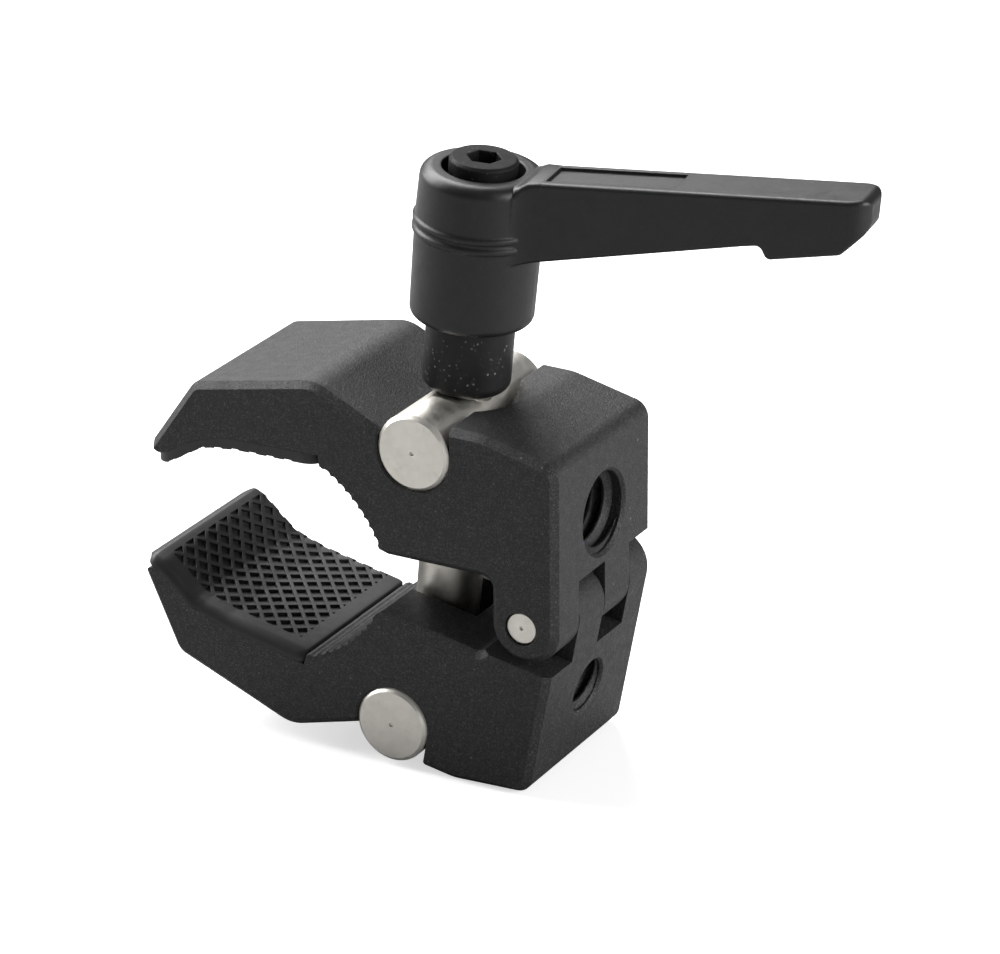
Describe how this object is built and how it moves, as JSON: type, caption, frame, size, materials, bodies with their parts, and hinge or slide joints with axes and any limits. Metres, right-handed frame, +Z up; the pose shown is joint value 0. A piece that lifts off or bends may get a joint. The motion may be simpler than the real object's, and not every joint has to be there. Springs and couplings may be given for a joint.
{
  "type": "super clamp",
  "caption": "Hinged screw clamp with two rubber-lined jaws, cross pins, a draw bolt and an adjustable lever, for gripping tubes and mounting studio accessories.",
  "frame": {"origin": "middle of the large accessory thread, on its axis", "axes": "+X points out of that thread's mouth in the rear face, so the jaws open towards -X; Y runs along the pins; +Z points up towards the lever"},
  "size_m": [0.0836, 0.023, 0.0718],
  "materials": {
    "jaw_finish": "black, bead-blasted and anodised",
    "pad_rubber": "matte",
    "bright_steel": "satin, turned",
    "black_steel": "black oxide",
    "handle_finish": "black satin powder coat",
    "spring_steel": "plain wire"
  },
  "bodies": {
    "upper_jaw": {"upper_jaw": "jaw_finish", "upper_pad": "pad_rubber", "hinge_pin": "bright_steel"},
    "lower_jaw": {"lower_jaw": "jaw_finish", "lower_pad": "pad_rubber"},
    "upper_pin": {"upper_cross_pin": "bright_steel"},
    "bolt": {"lower_cross_pin": "bright_steel", "draw_bolt": "bright_steel"},
    "insert": {"lever_insert": "black_steel", "retaining_screw": "black_steel", "handle_spring": "spring_steel"},
    "handle": {"clamp_handle": "handle_finish"}
  },
  "joints": [
    {"name": "jaw_hinge", "type": "hinge", "parent": "upper_jaw", "child": "lower_jaw", "pos_m": [0.0011, 0, -0.01064], "axis": [0, 1, 0], "range_deg": [-17.5, 13.6]},
    {"name": "upper_pin_pivot", "type": "hinge", "parent": "upper_jaw", "child": "upper_pin", "pos_m": [-0.0123, 0, 0.00776], "axis": [0, 1, 0], "range_deg": [-8.8, 6.8]},
    {"name": "lower_pin_pivot", "type": "hinge", "parent": "lower_jaw", "child": "bolt", "pos_m": [-0.01556, 0, -0.02615], "axis": [0, 1, 0], "range_deg": [-6.8, 8.8]},
    {"name": "screw_turn", "type": "hinge", "parent": "upper_pin", "child": "insert", "pos_m": [-0.0123, 0, 0.00776], "axis": [0.0958, 0, 0.9954], "range_deg": [-1260, 1620]},
    {"name": "handle_lift", "type": "slide", "parent": "insert", "child": "handle", "axis": [0.0958, 0, 0.9954], "range_m": [0, 0.0033], "stiffness_N_per_m": 500, "springref_m": -0.002, "deforming": ["handle_spring"]}
  ],
  "couplings": [
    {"joint": "jaw_hinge", "follows": "screw_turn", "ratio": -0.010753},
    {"joint": "upper_pin_pivot", "follows": "screw_turn", "ratio": -0.0053763},
    {"joint": "lower_pin_pivot", "follows": "screw_turn", "ratio": 0.0053763}
  ]
}
